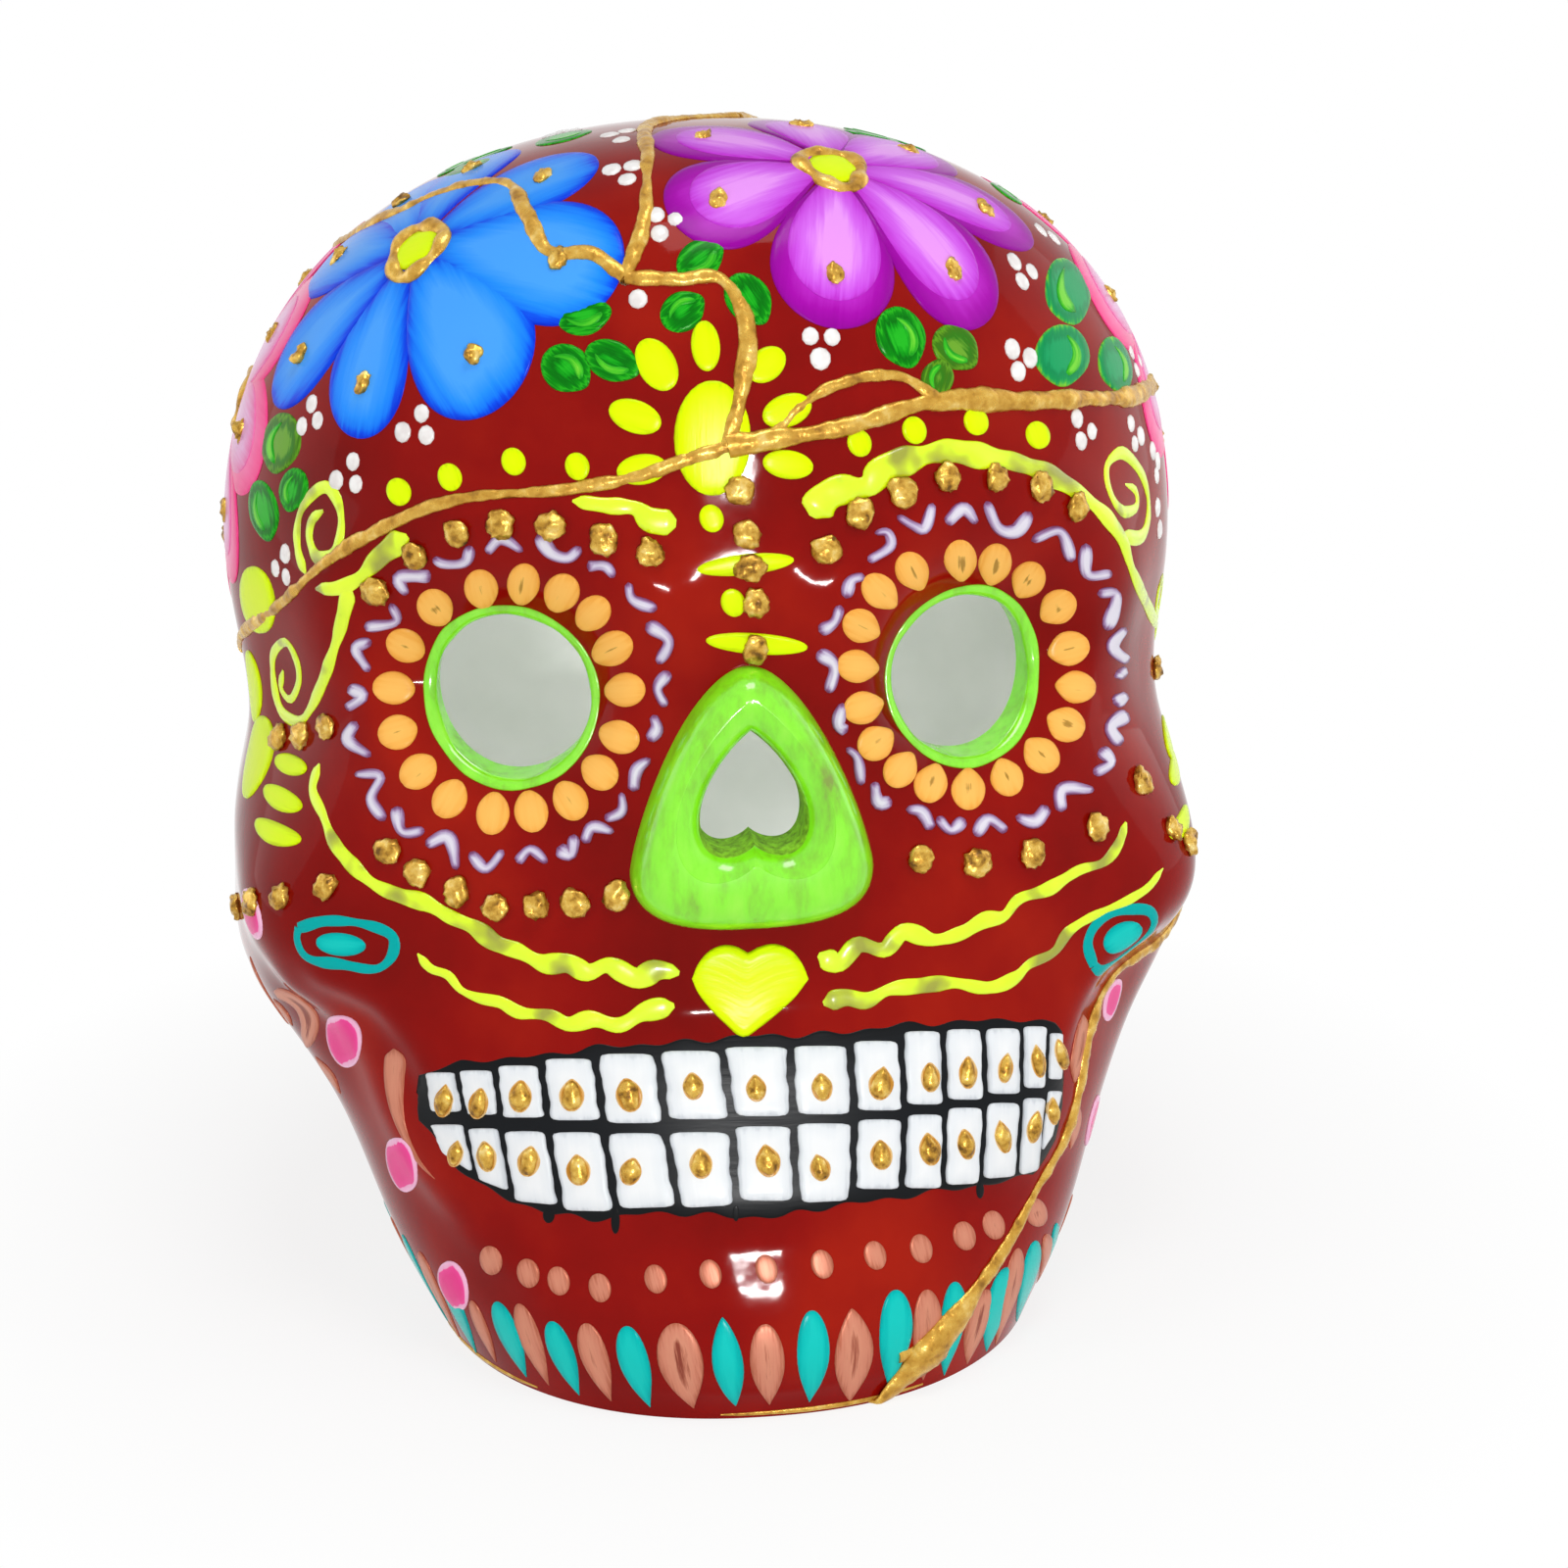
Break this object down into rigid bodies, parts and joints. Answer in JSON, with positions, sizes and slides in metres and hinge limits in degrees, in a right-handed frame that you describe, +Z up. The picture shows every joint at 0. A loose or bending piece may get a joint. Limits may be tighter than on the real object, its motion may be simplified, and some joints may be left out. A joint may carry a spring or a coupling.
{
  "type": "sugar skull ornament",
  "caption": "Hollow glazed ceramic sugar skull with open eye and nose holes and an open foot, broken into shards and joined again with raised seams of gold resin.",
  "frame": {"origin": "middle of the foot, on the plane it stands on", "axes": "+Z up to the crown, -Y towards the face, +X to the right of someone looking at the face"},
  "size_m": [0.1546, 0.1672, 0.1817],
  "materials": {
    "glaze": "glossy oxblood glaze with painted folk ornament",
    "gold_resin": "gold-coloured resin, lumpy and glossy"
  },
  "bodies": {
    "root": {"face_shard": "glaze", "right_jaw_shard": "glaze", "nape_shard": "glaze", "left_forehead_shard": "glaze", "left_crown_shard": "glaze", "right_forehead_shard": "glaze", "rear_crown_shard": "glaze", "brow_chip_shard": "glaze", "left_brow_seam": "gold_resin", "right_brow_seam": "gold_resin", "left_rear_seam": "gold_resin", "right_rear_seam": "gold_resin", "rear_crown_seam": "gold_resin", "crown_seam": "gold_resin", "forehead_seam": "gold_resin", "left_crown_seam": "gold_resin", "crest_seam": "gold_resin", "brow_chip_seam": "gold_resin", "jaw_seam": "gold_resin", "right_nape_seam": "gold_resin", "left_nape_seam": "gold_resin", "jaw_spur_seam": "gold_resin"}
  },
  "joints": []
}
